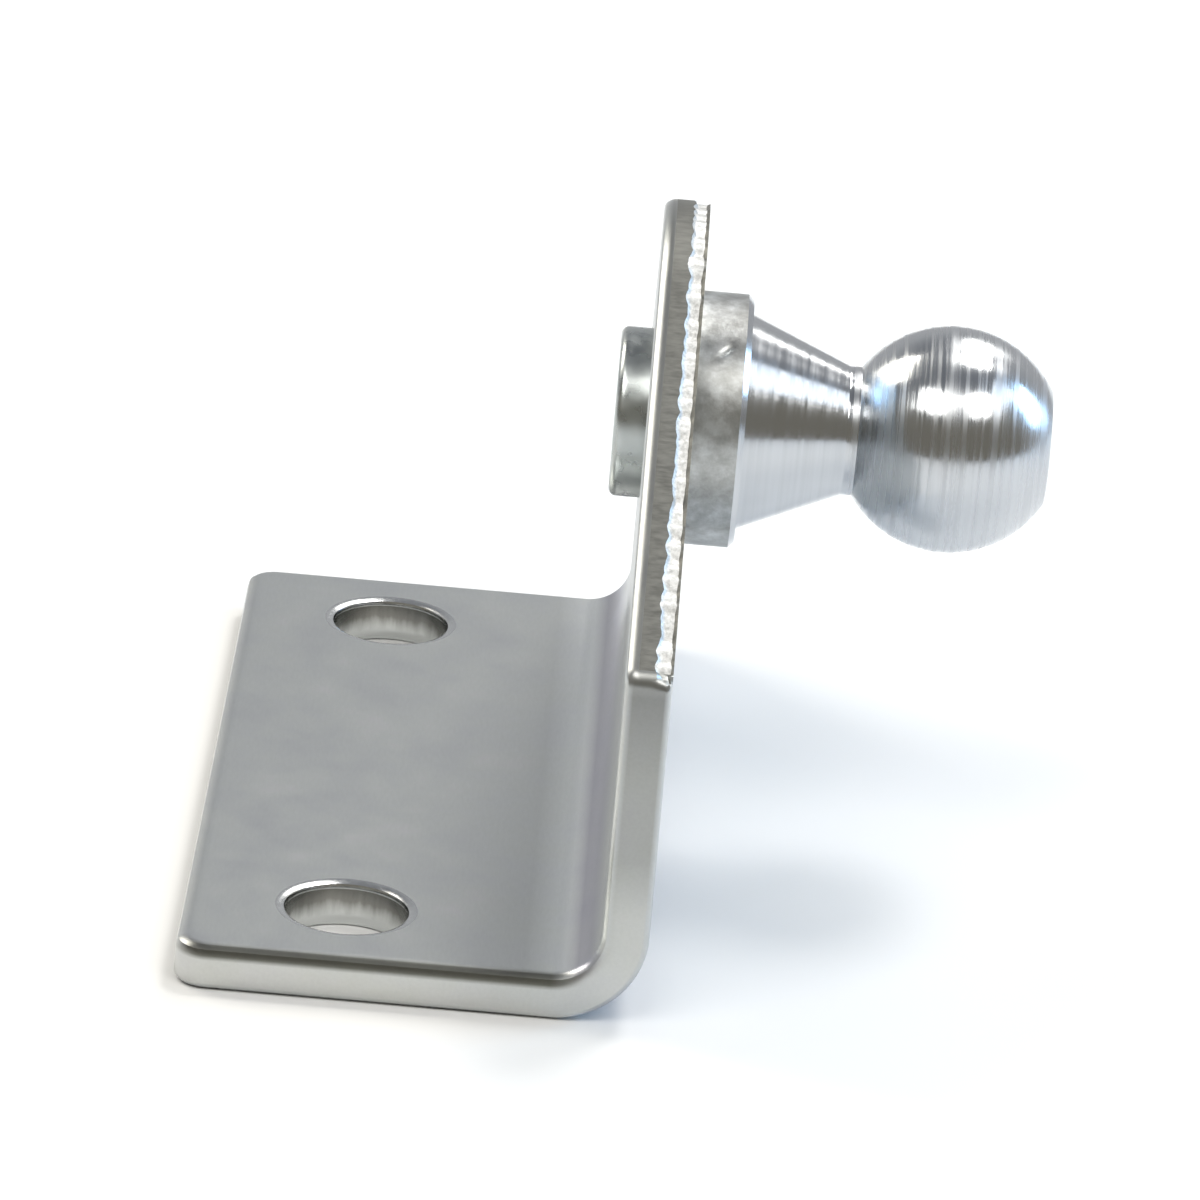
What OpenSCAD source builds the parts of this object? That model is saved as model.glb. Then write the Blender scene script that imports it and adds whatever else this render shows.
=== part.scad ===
// Gas spring bracket: a folded sheet angle with a ball stud riveted through its upright.
// The origin is midway between the two screw holes, on the underside of the base.
// +X points to the ball, +Y runs along the fold and +Z points up.

/* [Sheet] */
// Thickness of the steel sheet
sheet_t = 2; // [1.5:0.1:3]
// Inside radius of the fold
fold_r = 2; // [1:0.1:3]
// Radius of the edges that the punch rolls over, on the inner faces
roll_r = 0.4; // [0.2:0.05:0.6]

/* [Base] */
// Length of the bracket along the fold
bracket_l = 45; // [42:0.5:70]
// Width of the base, from its free edge to the outer face of the upright
base_w = 20; // [18:0.5:35]
// Radius of the two free corners of the base
corner_r = 1.4; // [0.8:0.1:5]
// Diameter of the screw holes
hole_d = 5.3; // [3.2:0.1:6.5]
// Distance between the screw holes
hole_spacing = 34; // [20:0.5:36]
// Distance from the screw holes to the free edge of the base
hole_edge = 7; // [4.5:0.5:9]

/* [Upright] */
// Height of the stud's axis above the underside
stud_h = 19.5; // [17:0.5:40]
// Radius of the round top, about the stud's axis
top_r = 9.5; // [7:0.5:12]
// Height of the shoulders' corners above the underside
shoulder_h = 15.8; // [8:0.1:18]

/* [Ball stud] */
// Diameter of the ball
ball_d = 10; // [8:0.5:16]
// Distance from the upright's outer face to the ball's centre
ball_reach = 11.4; // [10:0.1:25]
// Diameter of the flat on the ball's end
ball_flat_d = 5; // [3:0.1:6]
// Diameter of the neck behind the ball
neck_d = 5.7; // [4:0.1:7]
// Length of the straight neck between the cone and the ball
neck_l = 0.5; // [0.2:0.1:2]
// Diameter of the cone where it meets the collar
cone_d = 9.5; // [7:0.1:10.5]
// Diameter of the collar
collar_d = 11.2; // [10.2:0.1:16]
// Thickness of the collar
collar_t = 2.3; // [1.5:0.1:4]
// Chamfer on the collar's outer edge
collar_chamfer = 0.25; // [0.1:0.05:0.35]

/* [Rivet] */
// Diameter of the shank through the upright
shank_d = 6; // [4:0.1:7]
// Radial clearance between the shank and its hole
shank_clearance = 0.02; // [0.01:0.01:0.1]
// Diameter of the riveted tail
tail_d = 7.5; // [7.3:0.1:11]
// Thickness of the riveted tail
tail_t = 1.4; // [0.8:0.1:3]
// Radius of the tail's outer edge
tail_edge_r = 0.35; // [0.1:0.05:0.7]

/* [Hidden] */
$fn = 96;
overcut = 0.5;

// Base and fold
free_x = -hole_edge;
outer_x = base_w - hole_edge;
inner_x = outer_x - sheet_t;
end_y = bracket_l / 2;
fold_outer_r = fold_r + sheet_t;
fold_x = outer_x - fold_outer_r;
fold_z = fold_outer_r;

// Upright: each slope runs from a shoulder's corner to the round top, and passes the stud's axis
// at slope_r, a hair inside the tangent, so that the two faces cross
slope_inset = 0.02;
slope_r = top_r - slope_inset;
slope_span = norm([end_y, stud_h - shoulder_h]);
slope_angle = atan2(stud_h - shoulder_h, -end_y) - acos(-slope_r / slope_span);
slope_reach = bracket_l + stud_h;

// Ball stud, measured from the upright's outer face
ball_r = ball_d / 2;
ball_start = ball_reach - sqrt(pow(ball_r, 2) - pow(neck_d / 2, 2));
cone_end = ball_start - neck_l;
flat_depth = sqrt(pow(ball_r, 2) - pow(ball_flat_d / 2, 2));

// What is lost from a square corner when its edge is rounded to radius r
module edge_waste(r) {
    difference() {
        translate([-r, -r]) square(r + overcut);
        translate([-r, -r]) circle(r = r);
    }
}

// Rolled edge along a straight stretch: it runs along +X, off the edge is +Y and off the face is +Z
module straight_roll(length) {
    rotate([90, 0, 90]) linear_extrude(length) edge_waste(roll_r);
}

// Turns a drawing in X and Y into the plane of the upright, with its depth along +X
module upright_plane() {
    rotate([90, 0, 90]) children();
}

module base_outline() {
    translate([free_x, -end_y + corner_r]) square([fold_x - free_x, bracket_l - 2 * corner_r]);
    translate([free_x + corner_r, -end_y]) square([fold_x - free_x - corner_r, bracket_l]);
    for (side = [-1, 1])
        translate([free_x + corner_r, side * (end_y - corner_r)]) circle(corner_r);
}

module fold() {
    translate([fold_x, end_y, fold_z]) rotate([90, 0, 0]) linear_extrude(bracket_l)
        difference() {
            intersection() {
                circle(fold_outer_r);
                translate([0, -fold_outer_r]) square(fold_outer_r);
            }
            circle(fold_r);
        }
}

// Round top about the stud's axis, with its inner edge rolled over
module round_top() {
    upright_plane() rotate_extrude() difference() {
        square([top_r, sheet_t + 2 * overcut]);
        translate([top_r, 0]) mirror([0, 1]) edge_waste(roll_r);
    }
}

// All that lies below one slope, with the slope's inner edge rolled over
module below_slope() {
    rotate([slope_angle, 0, 0]) translate([0, 0, -slope_reach]) linear_extrude(slope_reach)
        difference() {
            translate([0, -slope_reach]) square([sheet_t + overcut, slope_reach + slope_r]);
            translate([0, slope_r]) rotate(90) edge_waste(roll_r);
        }
}

module upright() {
    intersection() {
        translate([inner_x, -end_y, fold_z])
            cube([sheet_t, bracket_l, stud_h + top_r - fold_z + overcut]);
        translate([inner_x, 0, stud_h]) {
            round_top();
            below_slope();
            mirror([0, 1, 0]) below_slope();
        }
    }
}

module at_screw_holes() {
    for (side = [-1, 1])
        translate([0, side * hole_spacing / 2]) children();
}

// Rolled edges of one end: base corner, base, fold and upright
module end_rolls() {
    translate([free_x + corner_r, end_y - corner_r, sheet_t]) rotate(90)
        rotate_extrude(angle = 90) translate([corner_r, 0]) edge_waste(roll_r);
    translate([free_x + corner_r, end_y, sheet_t]) straight_roll(fold_x - free_x - corner_r);
    translate([fold_x, 0, fold_z]) rotate([-90, 0, 0])
        rotate_extrude(angle = 90) translate([fold_r, end_y]) rotate(90) edge_waste(roll_r);
    translate([inner_x, end_y, fold_z]) rotate([0, -90, 0]) straight_roll(stud_h + top_r - fold_z);
}

module rolled_edges() {
    end_rolls();
    mirror([0, 1, 0]) end_rolls();
    translate([free_x, -end_y + corner_r, sheet_t]) rotate(90) straight_roll(bracket_l - 2 * corner_r);
    at_screw_holes() translate([0, 0, sheet_t])
        rotate_extrude() translate([hole_d / 2, 0]) mirror([1, 0]) edge_waste(roll_r);
}

// One punched and folded sheet
module bracket_plate() {
    color("#a3a6a8") difference() {
        union() {
            linear_extrude(sheet_t) base_outline();
            fold();
            upright();
        }
        at_screw_holes() translate([0, 0, -overcut])
            cylinder(d = hole_d, h = sheet_t + 2 * overcut);
        translate([inner_x - overcut, 0, stud_h]) rotate([0, 90, 0])
            cylinder(d = shank_d + 2 * shank_clearance, h = sheet_t + 2 * overcut);
        rolled_edges();
    }
}

// Half section of the stud: radius along X, distance from the upright's outer face along Y
module stud_half_section() {
    translate([0, -sheet_t]) difference() {
        translate([0, -tail_t]) square([tail_d / 2, tail_t]);
        translate([tail_d / 2, -tail_t]) mirror([0, 1]) edge_waste(tail_edge_r);
    }
    translate([0, -sheet_t]) square([shank_d / 2, sheet_t]);
    polygon([
        [0, 0], [collar_d / 2, 0], [collar_d / 2, collar_t - collar_chamfer],
        [collar_d / 2 - collar_chamfer, collar_t], [cone_d / 2, collar_t],
        [neck_d / 2, cone_end], [neck_d / 2, ball_start], [0, ball_start]
    ]);
    translate([0, ball_reach]) intersection() {
        circle(ball_r);
        translate([0, ball_start - ball_reach]) square([ball_r, flat_depth + ball_reach - ball_start]);
    }
}

// One turned piece, riveted over behind the upright
module ball_stud() {
    color("#c4c7ca") translate([outer_x, 0, stud_h]) rotate([0, 90, 0])
        rotate_extrude() stud_half_section();
}

bracket_plate();
ball_stud();
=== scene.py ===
"""Gas spring bracket: a punched and folded zinc-plated sheet with a ball stud riveted through it."""

import math

import bmesh
import bpy
from mathutils import Matrix, Vector, noise


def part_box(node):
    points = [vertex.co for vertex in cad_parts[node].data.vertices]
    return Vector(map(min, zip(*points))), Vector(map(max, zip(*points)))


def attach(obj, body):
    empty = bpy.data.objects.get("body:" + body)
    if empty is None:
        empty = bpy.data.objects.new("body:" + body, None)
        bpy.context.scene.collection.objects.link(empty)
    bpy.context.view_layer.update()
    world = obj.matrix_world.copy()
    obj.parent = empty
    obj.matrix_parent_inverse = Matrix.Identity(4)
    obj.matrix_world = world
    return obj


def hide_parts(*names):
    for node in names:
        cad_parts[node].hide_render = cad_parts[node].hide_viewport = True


# Pieces are drawn in millimetres and scaled to metres when they are finished
MM = 0.001

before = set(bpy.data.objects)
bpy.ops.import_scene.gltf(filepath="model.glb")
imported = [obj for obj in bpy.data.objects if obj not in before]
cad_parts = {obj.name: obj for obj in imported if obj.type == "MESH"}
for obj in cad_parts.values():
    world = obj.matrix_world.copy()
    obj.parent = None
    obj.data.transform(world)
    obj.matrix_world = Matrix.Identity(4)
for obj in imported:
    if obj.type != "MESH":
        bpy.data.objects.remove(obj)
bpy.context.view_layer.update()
plate_low, plate_high = [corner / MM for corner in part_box("bracket_plate")]
stud_low, stud_high = [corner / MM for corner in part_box("ball_stud")]

# Slack in comparisons, in cuts across the sheet and in welds
SLACK = 0.01
CUT_SLACK = 0.002
WELD = 0.0001

# Sheet
SHEET_T = 2.0
FOLD_R = 2.0
FOLD_STEPS = 24
CORNER_R = 1.4
SHOULDER_H = 15.8
SHOULDER_R = 0.9
HOLE_D = 5.3
HOLE_SPACING = 34.0
FREE_X = plate_low.x
OUTER_X = plate_high.x
END_Y = plate_high.y
AXIS_Z = (stud_low.z + stud_high.z) / 2
TOP_R = plate_high.z - AXIS_Z

# Edges, measured from the outer face up to the inner face, which is rolled over all round. A roll
# has a radius by the face, the slope it ends with, a radius down the wall and the slope it starts with.
EDGE_PITCH = 0.125
FEWEST_ARC_STEPS = 5
ROLL_STEPS = 5
SMOOTH_ROLL = (0.8, math.radians(40), 1.2, math.radians(66))
PUNCHED_ROLL = (0.3, math.radians(45), 0.65, math.radians(45))
HOLE_ROLL = (0.75, math.radians(30), 0.5, math.radians(66))
CREASE = math.radians(20)
RIM_WIDTH = 0.2
WALL_ROWS = 3
FOOT_R = 0.35
HOLE_FOOT_R = 0.08

# Break: the round top and its slopes were punched and broke away in beads below BREAK_H. The edge
# turns from smooth to punched round each shoulder, and keeps the sheet's zinc up to FULLY_PUNCHED.
# A bead stands BEAD_CREST high at its centre and falls off by BEAD_FALL, and BURR_SWING of its lift
# moves the burr the other way.
FULLY_PUNCHED = 0.95
BREAK_H = 0.72
BREAK_ROWS = 5
BREAK_TAPER = 0.04
BURR_H = 0.14
BURR_TAPER = 0.05
BEAD_LIFT = 0.13
BEAD_DEPTH = 0.14
BEADS_PER_MM = 1.4
BEAD_CREST = 0.9
BEAD_FALL = 2.0
BURR_SWING = 0.4

# Materials of the plate, in the order of its slots
SHEET, BURNISHED, BROKEN, BORE, RIM = range(5)

# Fold: the flat blank is bent about the line at FOLD_X and FOLD_Z. The painted highlight and painted shade
# along the fold start before it.
FOLD_OUTER_R = FOLD_R + SHEET_T
FOLD_X = OUTER_X - FOLD_OUTER_R
FOLD_Z = FOLD_OUTER_R
FOLD_LENGTH = math.pi / 2 * (FOLD_R + SHEET_T / 2)
FOLD_END = FOLD_X + FOLD_LENGTH
PAINTED_FOLD_LIGHT_START = FOLD_X - 1.2
SHOULDER_X = FOLD_END + SHOULDER_H - FOLD_Z

# Ball stud: distances along the axis are from the upright's outer face
TAIL_D = 7.5
TAIL_T = 1.4
TAIL_EDGE_R = 0.35
TAIL_EDGE_PITCH = 0.08
SHANK_D = 6.0
SHANK_CLEARANCE = 0.02
COLLAR_D = stud_high.z - stud_low.z
COLLAR_T = 2.3
COLLAR_CHAMFER = 0.25
CONE_D = 9.5
NECK_D = 5.7
NECK_L = 0.5
BALL_R = 5.0
BALL_REACH = 11.4
BALL_FLAT_R = 2.5
BALL_START = BALL_REACH - math.sqrt(BALL_R ** 2 - (NECK_D / 2) ** 2)
BALL_END = BALL_REACH + math.sqrt(BALL_R ** 2 - BALL_FLAT_R ** 2)
STUD_SIDES = 144
STUD_CREASE = math.radians(25)
NICK_PLACE = Vector((1.2, -3.45, 4.41))
NICK_SIZE = (0.42, 0.16)
NICK_DEPTH = 0.06
NICK_SLANT = math.radians(48)
NICK_REACH = 0.9
NICK_CUTS = 3
PLAIN_PITCH = 0.25

# Turning marks: broad rings, and fine ones that are weaker, each with a count per millimetre
TURNING_PITCH = 0.05
CONE_PITCH = TURNING_PITCH * 1.5
TURNING_DEPTH = 0.006
BROAD_RINGS = 3.3
FINE_RINGS = 8.0
FINE_SHARE = 0.4
FINE_START = 5.0

# Camera
CAMERA_PLACE = Vector((9.673, -333.209, 139.076)) * MM
CAMERA_ELEVATION = math.radians(21.1)
CAMERA_ROLL = math.radians(5.0)
CAMERA_LENS = 241.0
SENSOR_WIDTH = 36.0
CLIP_START = 0.01

# Paper, in metres: it lies just under the bracket
PAPER_R = 1.5
PAPER_SIDES = 128
PAPER_DROP = 0.00003
PAPER_WHITE = (0.765, 0.765, 0.765, 1.0)

# Room: where its near side starts to turn into its far side, and where it has, along Y
ROOM_TURN = (-0.25, 0.15)

# Lamps, in metres: the direction from the aim to the lamp, its width and height, radiance and colour
AIM = Vector((9.9, 0.0, 10.5)) * MM
LAMP_DISTANCE = 0.5
LAMPS = {
    "front_left_lamp": ((-0.30, -0.48, 0.82), 0.26, 0.20, 4.2, (1.0, 0.98, 0.93)),
    "front_right_lamp": ((0.40, -0.46, 0.79), 0.20, 0.20, 4.2, (1.0, 0.98, 0.94)),
    "side_lamp": ((0.66, -0.10, 0.75), 0.24, 0.13, 1.7, (0.86, 0.93, 1.0)),
    "back_lamp": ((0.25, 0.68, 0.69), 0.16, 0.22, 3.4, (1.0, 0.98, 0.94)),
    "top_lamp": ((0.26, 0.36, 0.89), 0.11, 0.11, 17.0, (1.0, 0.98, 0.94)),
    "warm_lamp": ((-0.66, 0.42, 0.62), 0.24, 0.26, 4.4, (1.0, 0.95, 0.84)),
    "cool_window": ((0.88, 0.25, 0.40), 0.18, 0.22, 7.0, (0.43, 0.69, 1.0)),
}


# Helpers for meshes

def verts_in(geometry):
    return [item for item in geometry if isinstance(item, bmesh.types.BMVert)]


def edges_in(geometry):
    return [item for item in geometry if isinstance(item, bmesh.types.BMEdge)]


def cut_finer(bm, pitch):
    """Halves the edges that are longer than the pitch at their place, until none is."""
    long = [edge for edge in bm.edges if edge.calc_length() > pitch(edge)]
    while long:
        bmesh.ops.subdivide_edges(bm, edges=long, cuts=1)
        long = [edge for edge in bm.edges if edge.calc_length() > pitch(edge)]


def new_object(name, data):
    """Adds an object to the scene."""
    made = bpy.data.objects.new(name, data)
    bpy.context.scene.collection.objects.link(made)
    return made


def mesh_object(name, bm, materials):
    """Turns a drawn mesh into an object of the scene."""
    mesh = bpy.data.meshes.new(name)
    bm.to_mesh(mesh)
    bm.free()
    for material in materials:
        mesh.materials.append(material)
    return new_object(name, mesh)


def finish_piece(name, bm, node, materials):
    """Scales a drawn piece to metres and puts it in the place of its CAD node."""
    bmesh.ops.recalc_face_normals(bm, faces=bm.faces)
    bmesh.ops.scale(bm, vec=(MM, MM, MM), verts=bm.verts)
    piece = mesh_object(name, bm, materials)
    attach(piece, "root")
    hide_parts(node)


# Helpers for materials

def set_inputs(tree, node, inputs):
    """Sets inputs of a node, each to another node's output or to a value."""
    for name, value in inputs.items():
        if isinstance(value, bpy.types.NodeSocket):
            tree.links.new(value, node.inputs[name])
        else:
            node.inputs[name].default_value = value


def add_node(tree, kind, inputs):
    """Adds a node with its inputs set."""
    node = tree.nodes.new(kind)
    set_inputs(tree, node, inputs)
    return node


def start_material(name, metallic=1.0):
    """A new material; returns it with its tree of nodes and its shader."""
    material = bpy.data.materials.new(name)
    material.use_nodes = True
    tree = material.node_tree
    shader = tree.nodes["Principled BSDF"]
    shader.inputs["Metallic"].default_value = metallic
    return material, tree, shader


def object_place(tree):
    return tree.nodes.new("ShaderNodeTexCoord").outputs["Object"]


def noted(tree, name, kind):
    """What the plate's vertices note under a name."""
    attribute = tree.nodes.new("ShaderNodeAttribute")
    attribute.attribute_name = name
    return attribute.outputs[kind]


def blank_place(tree):
    """Where each point lay on the flat blank, in millimetres, so that patterns follow the fold."""
    return noted(tree, "blank", "Vector")


def stretched(tree, place, scale):
    return add_node(tree, "ShaderNodeMapping", {"Vector": place, "Scale": scale}).outputs["Vector"]


def noise_pattern(tree, place, scale, detail=3.0, roughness=0.55):
    return add_node(tree, "ShaderNodeTexNoise", {
        "Vector": place, "Scale": scale, "Detail": detail, "Roughness": roughness}).outputs["Fac"]


def colour_ramp(tree, source, stops):
    ramp = add_node(tree, "ShaderNodeValToRGB", {"Fac": source})
    elements = ramp.color_ramp.elements
    while len(elements) < len(stops):
        elements.new(0.5)
    for element, (position, colour) in zip(elements, stops):
        element.position = position
        element.color = (*colour, 1.0)
    return ramp.outputs["Color"]


def spread(tree, source, low, high, start=0.3, end=0.7):
    """Maps a range of a pattern, as a rule its middle, to a range of values."""
    return add_node(tree, "ShaderNodeMapRange", {
        "Value": source, "From Min": start, "From Max": end,
        "To Min": low, "To Max": high}).outputs["Result"]


def bumped(tree, height, distance, strength, normal=None):
    inputs = {"Height": height, "Distance": distance, "Strength": strength}
    if normal:
        inputs["Normal"] = normal
    return add_node(tree, "ShaderNodeBump", inputs).outputs["Normal"]


def mixed(tree, factor, first, second, blend="MIX"):
    """Mixes two colours."""
    mix = tree.nodes.new("ShaderNodeMix")
    mix.data_type = "RGBA"
    mix.blend_type = blend
    set_inputs(tree, mix, {"Factor": factor, "A": first, "B": second})
    return mix.outputs["Result"]


def multiplied(tree, first, second):
    return mixed(tree, 1.0, first, second, "MULTIPLY")


def finish_shader(tree, shader, colour, roughness, normal):
    set_inputs(tree, shader, {"Base Color": colour, "Roughness": roughness, "Normal": normal})


def patterned_material(name, place_of, pattern, stops, roughness, bump, stretch=(1.0, 1.0, 1.0)):
    """A metal whose colour, roughness and small bumps all follow one pattern."""
    material, tree, shader = start_material(name)
    source = noise_pattern(tree, stretched(tree, place_of(tree), stretch), **pattern)
    finish_shader(tree, shader, colour_ramp(tree, source, stops), spread(tree, source, *roughness),
                  bumped(tree, source, *bump))
    return material


# Materials

def plated_sheet_material():
    """Satin zinc on rolled sheet, with a faint tinted mottle, a painted highlight and painted shade along
    the fold, painted shade that darkens the end walls up the upright and, at both ends of the base, painted
    shade on the rolled-over edge."""
    material, tree, shader = start_material("plated_sheet")
    blank = blank_place(tree)
    axes = add_node(tree, "ShaderNodeSeparateXYZ", {"Vector": blank}).outputs
    mottle = noise_pattern(tree, blank, 0.35, detail=6.0, roughness=0.65)
    tint = colour_ramp(tree, mottle, [
        (0.30, (0.724, 0.744, 0.762)),
        (0.45, (0.738, 0.762, 0.768)),
        (0.58, (0.736, 0.762, 0.756)),
        (0.72, (0.750, 0.756, 0.772)),
    ])
    grain = noise_pattern(tree, stretched(tree, blank, (7.0, 1.5, 7.0)), 1.0, detail=4.0)
    shade = colour_ramp(tree, grain, [(0.30, (0.95, 0.95, 0.95)), (0.70, (1.0, 1.0, 1.0))])
    # Painted highlight and painted shade along the fold: a lighter band as the fold starts, then a darker
    # violet band round it.
    painted_fold_light = colour_ramp(tree, spread(tree, axes["X"], 0.0, 1.0, PAINTED_FOLD_LIGHT_START, FOLD_END), [
        (0.0, (0.765, 0.765, 0.765)),
        (0.20, (1.0, 1.0, 1.0)),
        (0.34, (0.98, 0.98, 0.99)),
        (0.50, (0.51, 0.50, 0.56)),
        (0.66, (0.55, 0.54, 0.60)),
        (0.85, (0.765, 0.765, 0.765)),
    ])
    # Painted shade on the end walls: they darken up the upright towards the shoulders.
    wall = colour_ramp(tree, spread(tree, axes["X"], 0.0, 1.0, FOLD_X, SHOULDER_X), [
        (0.0, (0.78, 0.768, 0.745)),
        (0.34, (0.69, 0.68, 0.66)),
        (0.50, (0.482, 0.475, 0.46)),
        (0.72, (0.474, 0.467, 0.452)),
        (0.95, (0.34, 0.335, 0.325)),
        (1.0, (0.482, 0.475, 0.46)),
    ])
    faces = colour_ramp(tree, spread(tree, axes["Z"], 0.0, 1.0, 0.0, SHEET_T), [
        (0.02, (1.0, 1.0, 1.0)),
        (0.15, (0.0, 0.0, 0.0)),
        (0.80, (0.0, 0.0, 0.0)),
        (0.98, (1.0, 1.0, 1.0)),
    ])
    plain = multiplied(tree, tint, shade)
    colour = mixed(tree, faces, multiplied(tree, plain, wall), multiplied(tree, plain, painted_fold_light))
    # Painted shade on the rolled-over top edge at both ends of the base, fading out past the fold.
    roll = colour_ramp(tree, spread(tree, axes["Z"], 0.0, 1.0, 0.0, SHEET_T), [
        (0.68, (1.0, 1.0, 1.0)),
        (0.78, (0.36, 0.355, 0.325)),
        (0.97, (0.28, 0.275, 0.25)),
        (0.999, (1.0, 1.0, 1.0)),
    ])
    rolled = add_node(tree, "ShaderNodeMapRange", {
        "Value": axes["X"], "From Min": FOLD_X, "From Max": FOLD_X + SHEET_T,
        "To Min": noted(tree, "rolled", "Fac"), "To Max": 0.0}).outputs["Result"]
    colour = mixed(tree, rolled, colour, multiplied(tree, colour, roll))
    fine = bumped(tree, noise_pattern(tree, blank, 14.0, detail=2.0), 0.000004, 0.35)
    normal = bumped(tree, noise_pattern(tree, blank, 0.22, detail=2.0), 0.00002, 0.2, fine)
    finish_shader(tree, shader, colour, spread(tree, mottle, 0.31, 0.37), normal)
    return material


def bore_with_painted_shade_material():
    """The walls of the screw holes: pale low down where they broke, and dark towards the top, partly the
    punch's burnished zone and partly painted shade in the hole.
    """
    material, tree, shader = start_material("bore_with_painted_shade")
    blank = blank_place(tree)
    scores = noise_pattern(tree, stretched(tree, blank, (3.0, 3.0, 0.6)), 1.0, detail=4.0)
    height = add_node(tree, "ShaderNodeSeparateXYZ", {"Vector": blank}).outputs["Z"]
    line = spread(tree, scores, -0.12, 0.12)
    depth = add_node(tree, "ShaderNodeMath", {0: height, 1: line}).outputs["Value"]
    # Painted shade: the wall goes from pale low down to dark towards the top.
    colour = colour_ramp(tree, spread(tree, depth, 0.0, 1.0, 0.0, SHEET_T), [
        (0.25, (0.68, 0.70, 0.69)),
        (0.58, (0.23, 0.23, 0.215)),
        (0.80, (0.17, 0.17, 0.16)),
    ])
    finish_shader(tree, shader, colour, spread(tree, scores, 0.17, 0.25),
                  bumped(tree, scores, 0.00001, 0.4))
    return material


def rolled_rim_material():
    """The rims of the screw holes, which the punch rolled over and left bright."""
    stops = [(0.30, (0.56, 0.57, 0.575)), (0.70, (0.62, 0.635, 0.64))]
    return patterned_material(
        "rolled_rim", blank_place, {"scale": 4.0}, stops, roughness=(0.18, 0.25), bump=(0.000004, 0.3))


def burnished_edge_with_painted_shade_material():
    """The part of the punched edge that the tool dragged smooth: dull, with scores across the sheet; its
    dark colour is partly painted shade.
    """
    # Its dark colour is partly painted shade.
    stops = [(0.30, (0.14, 0.14, 0.13)), (0.70, (0.215, 0.215, 0.20))]
    return patterned_material(
        "burnished_edge_with_painted_shade", blank_place, {"scale": 1.0, "detail": 5.0}, stops,
        roughness=(0.45, 0.55), bump=(0.000006, 0.4), stretch=(6.0, 6.0, 1.5))


def broken_edge_material():
    """The part of the punched edge that broke away: rough and pale."""
    stops = [(0.30, (0.42, 0.42, 0.41)), (0.60, (0.66, 0.66, 0.65))]
    return patterned_material(
        "broken_edge", blank_place, {"scale": 5.0, "detail": 4.0, "roughness": 0.65}, stops,
        roughness=(0.62, 0.5), bump=(0.00002, 0.5))


def turned_zinc_material(name, roughest, ring_bump):
    """Bright zinc over the rings that the lathe tool left, which draw each highlight out along the axis."""
    material, tree, shader = start_material(name)
    place = object_place(tree)
    along_axis = stretched(tree, place, (4000.0, 60.0, 60.0))
    rings = noise_pattern(tree, along_axis, 1.0, detail=4.0, roughness=0.65)
    colour = colour_ramp(tree, rings, [
        (0.30, (0.525, 0.54, 0.56)),
        (0.60, (0.56, 0.578, 0.60)),
    ])
    finish_shader(tree, shader, colour, spread(tree, rings, roughest, 0.15, 0.38, 0.62),
                  bumped(tree, rings, 0.000008, ring_bump))
    tangent = tree.nodes.new("ShaderNodeTangent")
    tangent.direction_type = "RADIAL"
    tangent.axis = "X"
    set_inputs(tree, shader, {
        "Tangent": tangent.outputs["Tangent"], "Anisotropic": 0.6, "Anisotropic Rotation": 0.25})
    return material


def matte_collar_material():
    """The collar's bar surface, left as it was drawn: matte and blotched."""
    material, tree, shader = start_material("matte_collar")
    place = object_place(tree)
    blotches = noise_pattern(tree, place, 650.0, detail=7.0, roughness=0.68)
    colour = colour_ramp(tree, blotches, [
        (0.30, (0.27, 0.27, 0.255)),
        (0.50, (0.44, 0.445, 0.435)),
        (0.66, (0.62, 0.635, 0.63)),
    ])
    pits = noise_pattern(tree, place, 5200.0, detail=3.0)
    finish_shader(tree, shader, colour, spread(tree, blotches, 0.30, 0.40),
                  bumped(tree, pits, 0.00002, 0.35))
    return material


def riveted_tail_material():
    """Zinc over the end that was hammered flat: duller than the turned zinc."""
    stops = [(0.30, (0.42, 0.445, 0.44)), (0.70, (0.55, 0.58, 0.575))]
    return patterned_material(
        "riveted_tail", object_place, {"scale": 900.0, "detail": 2.0}, stops,
        roughness=(0.24, 0.34), bump=(0.00002, 0.1))


def paper_material():
    """White paper, with nothing that varies over it."""
    material, tree, shader = start_material("white_paper", metallic=0.0)
    set_inputs(tree, shader, {"Roughness": 0.9, "Specular IOR Level": 0.1, "Base Color": PAPER_WHITE})
    return material


# Plate

def outline_arc(bm, notes, centre, radius, start, sweep, punched):
    """Spins a vertex into an arc of the outline. Each vertex notes which way the sheet lies from it, and
    how far the edge is punched there, from the arc's start to its end."""
    centre = Vector((*centre, 0.0))
    before = set(bm.verts)
    first = bm.verts.new(centre + radius * Vector((math.cos(start), math.sin(start), 0.0)))
    steps = max(FEWEST_ARC_STEPS, round(radius * sweep / EDGE_PITCH))
    spun = bmesh.ops.spin(bm, geom=[first], cent=centre, axis=(0, 0, 1), angle=sweep, steps=steps)
    for vert in set(bm.verts) - before:
        share = 2 * math.asin(min(1.0, (vert.co - first.co).length / (2 * radius))) / sweep
        vert[notes["inward"]] = (centre - vert.co) / radius
        vert[notes["punched"]] = punched[0] + (punched[1] - punched[0]) * share
    return first, verts_in(spun["geom_last"])[0]


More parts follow.
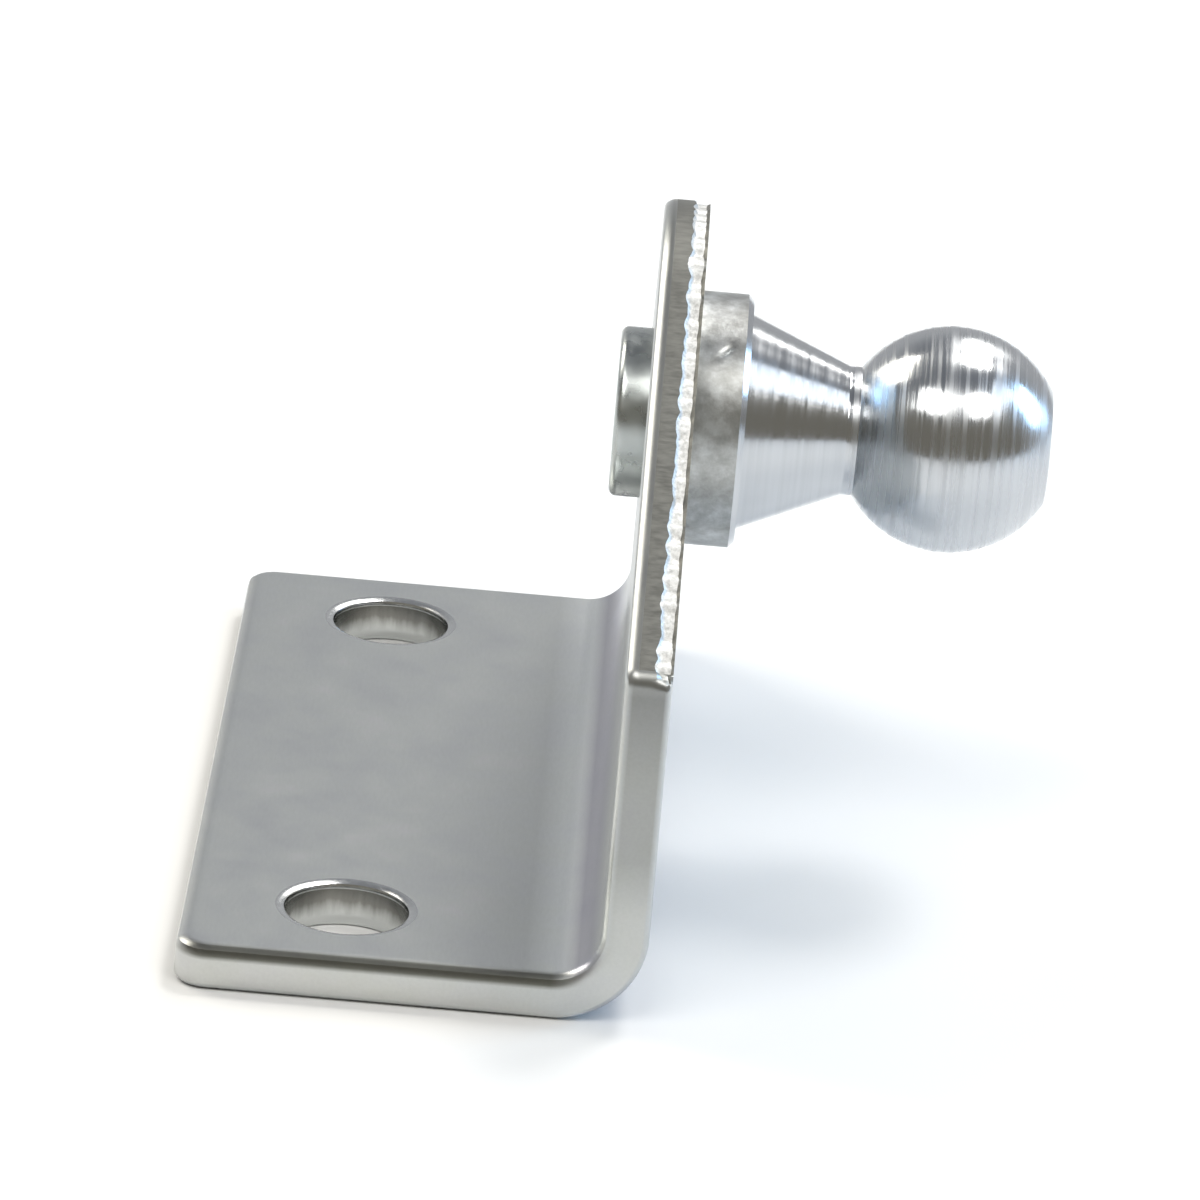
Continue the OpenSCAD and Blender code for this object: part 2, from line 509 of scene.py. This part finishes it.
def blank_outline(bm, notes):
    """The flat blank's outline: five arcs joined by straight sides, from the free edge to the round top."""
    rise = AXIS_Z - SHOULDER_H
    slope = math.atan2(rise, END_Y) + math.asin(TOP_R / math.hypot(rise, END_Y))
    top_x = FOLD_END + AXIS_Z - FOLD_Z
    shoulder_y = END_Y - SHOULDER_R
    shoulder_x = top_x + (TOP_R - SHOULDER_R - math.sin(slope) * shoulder_y) / math.cos(slope)
    corner_x = FREE_X + CORNER_R
    corner_y = END_Y - CORNER_R
    square = math.pi / 2
    arcs = [outline_arc(bm, notes, *arc) for arc in (
        ((corner_x, -corner_y), CORNER_R, 2 * square, square, (0, 0)),
        ((shoulder_x, -shoulder_y), SHOULDER_R, -square, square - slope, (0, 1)),
        ((top_x, 0.0), TOP_R, -slope, 2 * slope, (1, 1)),
        ((shoulder_x, shoulder_y), SHOULDER_R, slope, square - slope, (1, 0)),
        ((corner_x, corner_y), CORNER_R, square, square, (0, 0)),
    )]
    for (_, last), (first, _) in zip(arcs, arcs[1:] + arcs[:1]):
        bm.edges.new((last, first))
    cut_finer(bm, lambda edge: EDGE_PITCH)
    # The rolled note holds where the painted shade of the rolled-over edge falls: smooth edges, most where
    # they face the base's ends.
    for vert in bm.verts:
        vert[notes["rolled"]] = (1.0 - vert[notes["punched"]]) * abs(vert[notes["inward"]].y)
    return list(bm.edges)


def hole_outline(bm, notes, centre, radius):
    """A round hole's outline; the sheet lies outside it."""
    centre = Vector((*centre, 0.0))
    sides = round(2 * math.pi * radius / EDGE_PITCH)
    ring = bmesh.ops.create_circle(
        bm, segments=sides, radius=radius, matrix=Matrix.Translation(centre))["verts"]
    for vert in ring:
        vert[notes["inward"]] = (vert.co - centre) / radius
    return list(dict.fromkeys(edge for vert in ring for edge in vert.link_edges))


def draw_rows(bm, notes, loop, rows):
    """Extrudes a loop row by row. A row says how far in from the outline it lies, how high, and with
    which material, first where the edge is smooth and then where it is punched."""
    for smooth, punched in rows:
        made = bmesh.ops.extrude_edge_only(bm, edges=loop)["geom"]
        loop = [edge for edge in edges_in(made) if edge.is_boundary]
        for vert in verts_in(made):
            share = vert[notes["punched"]]
            inset = smooth[0] + (punched[0] - smooth[0]) * share
            vert.co = vert[notes["outline"]] + inset * vert[notes["inward"]]
            vert.co.z = smooth[1] + (punched[1] - smooth[1]) * share
            for face in vert.link_faces:
                face.material_index = punched[2] if share > FULLY_PUNCHED else smooth[2]
                face.smooth = True
    return loop


def roll_depth(roll):
    """How far a roll reaches down the wall."""
    by_face, slope, down_wall, steep = roll
    return by_face * (1 - math.cos(slope)) + down_wall * math.cos(steep)


def roll_points(roll):
    """Points from the break's height up the wall and round a roll to the flat inner face."""
    by_face, slope, down_wall, steep = roll
    inset = 0.0
    height = SHEET_T - roll_depth(roll)
    points = [(0.0, BREAK_H + (height - BREAK_H) * row / WALL_ROWS) for row in range(1, WALL_ROWS + 1)]
    for radius, start, end in ((down_wall, math.pi / 2, steep), (by_face, slope, 0.0)):
        for step in range(ROLL_STEPS):
            before = start + (end - start) * step / ROLL_STEPS
            after = start + (end - start) * (step + 1) / ROLL_STEPS
            inset += radius * (math.sin(before) - math.sin(after))
            height += radius * (math.cos(after) - math.cos(before))
            points.append((inset, height))
    points.append((inset + RIM_WIDTH, SHEET_T))
    return points


def rolled_rows(smooth_roll, punched_roll, wall, rolled):
    """Rows up to the flat inner face; the wall below the roll and the roll have materials of their own."""
    above_wall = [rolled] * 2 * ROLL_STEPS + [SHEET]
    rows = []
    for start, roll in ((wall, smooth_roll), (BURNISHED, punched_roll)):
        kinds = [start] * WALL_ROWS + above_wall
        rows.append([(*point, kind) for point, kind in zip(roll_points(roll), kinds)])
    return list(zip(*rows))


def foot_rows(foot_r, wall):
    """Rows from the break's height down to the flat outer face: a rounded foot, or break and burr."""
    rows = []
    for row in range(1, BREAK_ROWS + 2):
        turn = math.pi / 2 * row / (BREAK_ROWS + 1)
        smooth = (foot_r * (1 - math.cos(turn)), foot_r * (1 - math.sin(turn)), wall)
        share = row / BREAK_ROWS
        punched = (BREAK_TAPER * share, BREAK_H + (BURR_H - BREAK_H) * share, BROKEN)
        # The burr takes the burnished edge's dark colour, which is partly painted shade.
        if row > BREAK_ROWS:
            punched = (BREAK_TAPER + BURR_TAPER, 0.0, BURNISHED)
        rows.append((smooth, punched))
    return rows


def sheet_edge(bm, notes, loop, smooth_roll, punched_roll, foot_r, wall, rolled):
    """Gives an outline its whole edge, up and down from the break's height; returns both end loops."""
    for vert in {vert for edge in loop for vert in edge.verts}:
        vert[notes["outline"]] = vert.co
        vert.co.z = BREAK_H
    upper = draw_rows(bm, notes, loop, rolled_rows(smooth_roll, punched_roll, wall, rolled))
    lower = draw_rows(bm, notes, loop, foot_rows(foot_r, wall))
    return upper, lower


def bead_break(bm, notes):
    """Shapes the break as a chain of beads, with the line above and the burr below drawn in between."""
    roll_start = SHEET_T - roll_depth(PUNCHED_ROLL)
    for vert in bm.verts:
        height = vert.co.z
        punched = vert[notes["punched"]]
        if not punched or not BURR_H - SLACK < height < roll_start:
            continue
        spot = Vector((vert.co.x, vert.co.y, 0.0)) * BEADS_PER_MM
        bead = BEAD_CREST - BEAD_FALL * noise.voronoi(spot)[0][0]
        if height > BREAK_H + SLACK:
            lift = (roll_start - height) / (roll_start - BREAK_H)
        else:
            lift = (1 + BURR_SWING) * (height - BURR_H) / (BREAK_H - BURR_H) - BURR_SWING
        vert.co.z += BEAD_LIFT * bead * lift * punched
        if height < BREAK_H - SLACK:
            vert.co += BEAD_DEPTH * (BEAD_CREST - bead) * punched * vert[notes["inward"]]


def fold_blank(bm):
    """Cuts the blank across the fold, then bends all that lies past the fold's line upright."""
    for step in range(FOLD_STEPS + 1):
        line = FOLD_X + FOLD_LENGTH * step / FOLD_STEPS
        bmesh.ops.bisect_plane(
            bm, geom=bm.verts[:] + bm.edges[:] + bm.faces[:], dist=CUT_SLACK,
            plane_co=(line, 0, 0), plane_no=(1, 0, 0))
    for vert in bm.verts:
        past = vert.co.x - FOLD_X
        if past <= 0:
            continue
        turn = min(past / FOLD_LENGTH, 1.0) * math.pi / 2
        rise = max(past - FOLD_LENGTH, 0.0)
        reach = FOLD_OUTER_R - vert.co.z
        vert.co.x = FOLD_X + reach * math.sin(turn)
        vert.co.z = FOLD_Z - reach * math.cos(turn) + rise


def bracket_plate():
    bm = bmesh.new()
    vectors = bm.verts.layers.float_vector
    floats = bm.verts.layers.float
    names = {"inward": vectors, "outline": vectors, "blank": vectors, "punched": floats, "rolled": floats}
    for name, layers in names.items():
        layers.new(name)
    notes = {name: layers[name] for name, layers in names.items()}

    outline = blank_outline(bm, notes)
    loops = [sheet_edge(bm, notes, outline, SMOOTH_ROLL, PUNCHED_ROLL, FOOT_R, SHEET, SHEET)]
    for side in (-1, 1):
        screw_hole = hole_outline(bm, notes, (0.0, side * HOLE_SPACING / 2), HOLE_D / 2)
        loops.append(sheet_edge(bm, notes, screw_hole, HOLE_ROLL, HOLE_ROLL, HOLE_FOOT_R, BORE, RIM))
    stud_place = (FOLD_END + AXIS_Z - FOLD_Z, 0.0)
    stud_hole = hole_outline(bm, notes, stud_place, SHANK_D / 2 + SHANK_CLEARANCE)
    for vert in {vert for edge in stud_hole for vert in edge.verts}:
        vert[notes["outline"]] = vert.co
    wall = (0.0, SHEET_T, BORE)
    loops.append((draw_rows(bm, notes, stud_hole, [(wall, wall)]), stud_hole))
    bead_break(bm, notes)

    for side in range(2):
        edges = [edge for pair in loops for edge in pair[side]]
        made = bmesh.ops.triangle_fill(bm, use_beauty=True, edges=edges, normal=(0, 0, 1 - 2 * side))
        for item in made["geom"]:
            if isinstance(item, bmesh.types.BMFace):
                item.smooth = True
    for edge in bm.edges:
        outer = all(vert.co.z == 0.0 for vert in edge.verts)
        kinds = {face.material_index for face in edge.link_faces}
        creased = kinds <= {SHEET, RIM} and edge.calc_face_angle(0.0) > CREASE
        edge.smooth = not outer and not creased and len(kinds) == 1
    for vert in bm.verts:
        vert[notes["blank"]] = vert.co
    fold_blank(bm)
    finish_piece("bracket_plate_punched", bm, "bracket_plate", [
        plated_sheet_material(), burnished_edge_with_painted_shade_material(), broken_edge_material(),
        bore_with_painted_shade_material(), rolled_rim_material()])


# Ball stud

def line_to(bm, vert, along, radius):
    """Carries the half section on to a point in a straight line."""
    point = bmesh.ops.extrude_vert_indiv(bm, verts=[vert])["verts"][0]
    point.co = (along, 0.0, radius)
    return point


def arc_to(bm, vert, centre, sweep, pitch):
    """Carries the half section on along an arc about a centre."""
    centre = Vector((centre[0], 0.0, centre[1]))
    steps = round((vert.co - centre).length * sweep / pitch)
    spun = bmesh.ops.spin(bm, geom=[vert], cent=centre, axis=(0, 1, 0), angle=sweep, steps=steps)
    return verts_in(spun["geom_last"])[0]


def stud_half_section(bm):
    """Half section from the riveted tail to the flat on the ball: distance along X, radius along Z."""
    tail_end = -SHEET_T - TAIL_T
    point = bm.verts.new((tail_end, 0.0, 0.0))
    point = line_to(bm, point, tail_end, TAIL_D / 2 - TAIL_EDGE_R)
    tail_edge = (tail_end + TAIL_EDGE_R, TAIL_D / 2 - TAIL_EDGE_R)
    point = arc_to(bm, point, tail_edge, math.pi / 2, TAIL_EDGE_PITCH)
    for along, radius in (
            (-SHEET_T, TAIL_D / 2),
            (-SHEET_T, SHANK_D / 2),
            (0.0, SHANK_D / 2),
            (0.0, COLLAR_D / 2),
            (COLLAR_T - COLLAR_CHAMFER, COLLAR_D / 2),
            (COLLAR_T, COLLAR_D / 2 - COLLAR_CHAMFER),
            (COLLAR_T, CONE_D / 2),
            (BALL_START - NECK_L, NECK_D / 2),
            (BALL_START, NECK_D / 2)):
        point = line_to(bm, point, along, radius)
    start = math.atan2(NECK_D / 2, BALL_REACH - BALL_START)
    end = math.atan2(BALL_FLAT_R, BALL_END - BALL_REACH)
    point = arc_to(bm, point, (BALL_REACH, 0.0), math.pi - start - end, TURNING_PITCH)
    line_to(bm, point, BALL_END, 0.0)
    cut_finer(bm, half_section_pitch)


def half_section_pitch(edge):
    """The cone and the neck are cut finely enough to carry the turning marks."""
    first, last = sorted(vert.co.x for vert in edge.verts)
    turned = first >= COLLAR_T and last <= BALL_END and last - first > SLACK
    return CONE_PITCH if turned else PLAIN_PITCH


def mark_turning(bm):
    """Leaves the tool's fine rings on the cone, the neck and the ball."""
    for vert in bm.verts:
        along = vert.co.x
        if COLLAR_T + SLACK < along < BALL_END - SLACK:
            broad = noise.noise((along * BROAD_RINGS, 0.0, 0.0))
            fine = noise.noise((along * FINE_RINGS, FINE_START, 0.0))
            vert.co.z -= TURNING_DEPTH * (1.0 + (broad + FINE_SHARE * fine))


def nick_collar(bm):
    """Leaves a short slanting nick on the collar."""
    near = [face for face in bm.faces if (face.calc_center_median() - NICK_PLACE).length < NICK_REACH]
    edges = list(dict.fromkeys(edge for face in near for edge in face.edges))
    bmesh.ops.subdivide_edges(bm, edges=edges, cuts=NICK_CUTS, use_grid_fill=True)
    many_sided = [face for face in bm.faces if len(face.verts) > 4]
    bmesh.ops.triangulate(bm, faces=many_sided, ngon_method="BEAUTY")
    outward = Vector((0.0, NICK_PLACE.y, NICK_PLACE.z)).normalized()
    axis = Vector((1.0, 0.0, 0.0))
    around = outward.cross(axis)
    along = math.cos(NICK_SLANT) * axis + math.sin(NICK_SLANT) * around
    across = along.cross(outward)
    for vert in bm.verts:
        place = vert.co - NICK_PLACE
        if place.length < NICK_REACH:
            reach = (place.dot(along) / NICK_SIZE[0]) ** 2 + (place.dot(across) / NICK_SIZE[1]) ** 2
            vert.co -= NICK_DEPTH * math.exp(-reach) * outward


def ball_stud():
    bm = bmesh.new()
    stud_half_section(bm)
    mark_turning(bm)
    bmesh.ops.spin(
        bm, geom=bm.verts[:] + bm.edges[:], cent=(0, 0, 0), axis=(1, 0, 0),
        angle=2 * math.pi, steps=STUD_SIDES, use_merge=True)
    bmesh.ops.remove_doubles(bm, verts=bm.verts, dist=WELD)
    nick_collar(bm)
    ends = (0.0, COLLAR_T - COLLAR_CHAMFER, BALL_START - NECK_L, BALL_END + SLACK)
    for face in bm.faces:
        face.smooth = True
        along = face.calc_center_median().x
        face.material_index = next(index for index, end in enumerate(ends) if along < end)
    for edge in bm.edges:
        edge.smooth = edge.calc_face_angle(0.0) < STUD_CREASE
    bmesh.ops.translate(bm, vec=(OUTER_X, 0.0, AXIS_Z), verts=bm.verts)
    finish_piece("ball_stud_turned", bm, "ball_stud", [
        riveted_tail_material(), matte_collar_material(),
        turned_zinc_material("turned_cone", 0.24, 0.4), turned_zinc_material("turned_ball", 0.36, 0.8)])


# Studio

def place_camera():
    data = bpy.data.cameras.new("camera")
    data.sensor_width = SENSOR_WIDTH
    data.lens = CAMERA_LENS
    data.clip_start = CLIP_START
    camera = new_object("camera", data)
    tilt = Matrix.Rotation(math.pi / 2 - CAMERA_ELEVATION, 4, "X")
    roll = Matrix.Rotation(CAMERA_ROLL, 4, "Z")
    camera.matrix_world = Matrix.Translation(CAMERA_PLACE) @ tilt @ roll
    bpy.context.scene.camera = camera


def softbox(name, toward, width, height, radiance, colour):
    """A rectangular lamp that faces the bracket from a given direction."""
    data = bpy.data.lights.new(name, "AREA")
    data.shape = "RECTANGLE"
    data.size = width
    data.size_y = height
    data.energy = 4 * radiance * width * height
    data.color = colour
    lamp = new_object(name, data)
    toward = Vector(toward).normalized()
    lamp.location = AIM + toward * LAMP_DISTANCE
    lamp.rotation_euler = toward.to_track_quat("Z", "Y").to_euler()


def paper_floor():
    bm = bmesh.new()
    bmesh.ops.create_circle(bm, cap_ends=True, segments=PAPER_SIDES, radius=PAPER_R)
    bmesh.ops.translate(bm, vec=(0.0, 0.0, -PAPER_DROP), verts=bm.verts)
    paper = mesh_object("paper_floor", bm, [paper_material()])


def room_light():
    """A pale room, dark on the camera's side and dimmer overhead."""
    world = bpy.data.worlds.new("room")
    bpy.context.scene.world = world
    world.use_nodes = True
    tree = world.node_tree
    direction = tree.nodes.new("ShaderNodeTexCoord").outputs["Generated"]
    axes = add_node(tree, "ShaderNodeSeparateXYZ", {"Vector": direction}).outputs
    near = colour_ramp(tree, axes["Z"], [
        (0.0, (0.23, 0.215, 0.18)),
        (0.52, (0.23, 0.215, 0.18)),
        (0.70, (0.20, 0.205, 0.21)),
        (1.0, (0.21, 0.22, 0.24)),
    ])
    far = colour_ramp(tree, axes["Z"], [
        (0.0, (0.50, 0.505, 0.52)),
        (0.36, (0.50, 0.51, 0.52)),
        (0.65, (0.28, 0.29, 0.31)),
        (1.0, (0.21, 0.22, 0.24)),
    ])
    colour = mixed(tree, spread(tree, axes["Y"], 0.0, 1.0, *ROOM_TURN), near, far)
    tree.links.new(colour, tree.nodes["Background"].inputs["Color"])


def studio():
    bpy.context.scene.view_settings.view_transform = "Standard"
    place_camera()
    paper_floor()
    room_light()
    for name, lamp in LAMPS.items():
        softbox(name, *lamp)


bracket_plate()
ball_stud()
studio()
